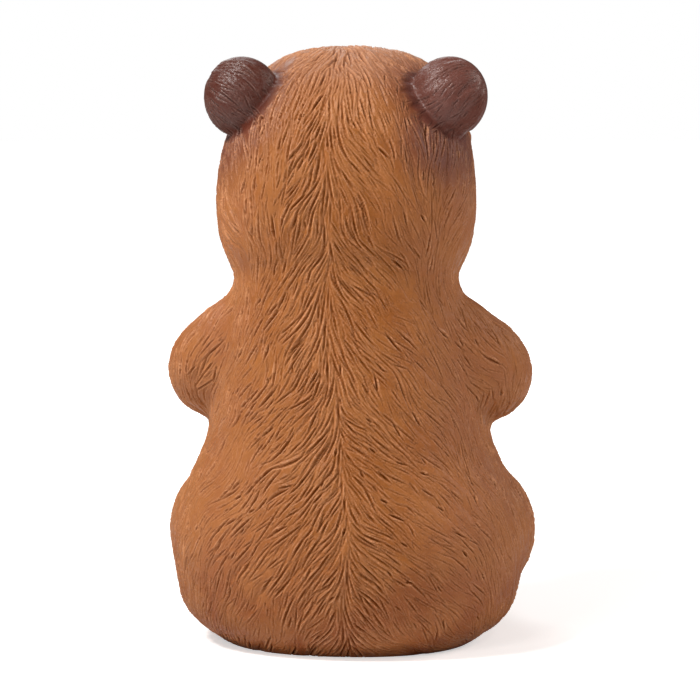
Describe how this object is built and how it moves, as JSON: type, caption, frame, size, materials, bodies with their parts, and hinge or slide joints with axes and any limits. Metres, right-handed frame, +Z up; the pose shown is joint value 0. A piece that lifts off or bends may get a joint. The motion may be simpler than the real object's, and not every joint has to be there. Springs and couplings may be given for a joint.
{
  "type": "capybara figurine",
  "caption": "Small cast figurine of a capybara sitting upright, paws on its belly, carved fur all over, resting on a flat underside.",
  "frame": {"origin": "middle of the flat underside, at the middle of the figure's box", "axes": "+Z up, the face looks along -Y, +X is the figure's left"},
  "size_m": [0.094, 0.0936, 0.1503],
  "materials": {
    "painted_resin": "hand painted cast resin in a warm brown, satin, darker on ears, nose and feet, with dark wash in the carved fur"
  },
  "bodies": {
    "root": {"capybara": "painted_resin"}
  },
  "joints": []
}
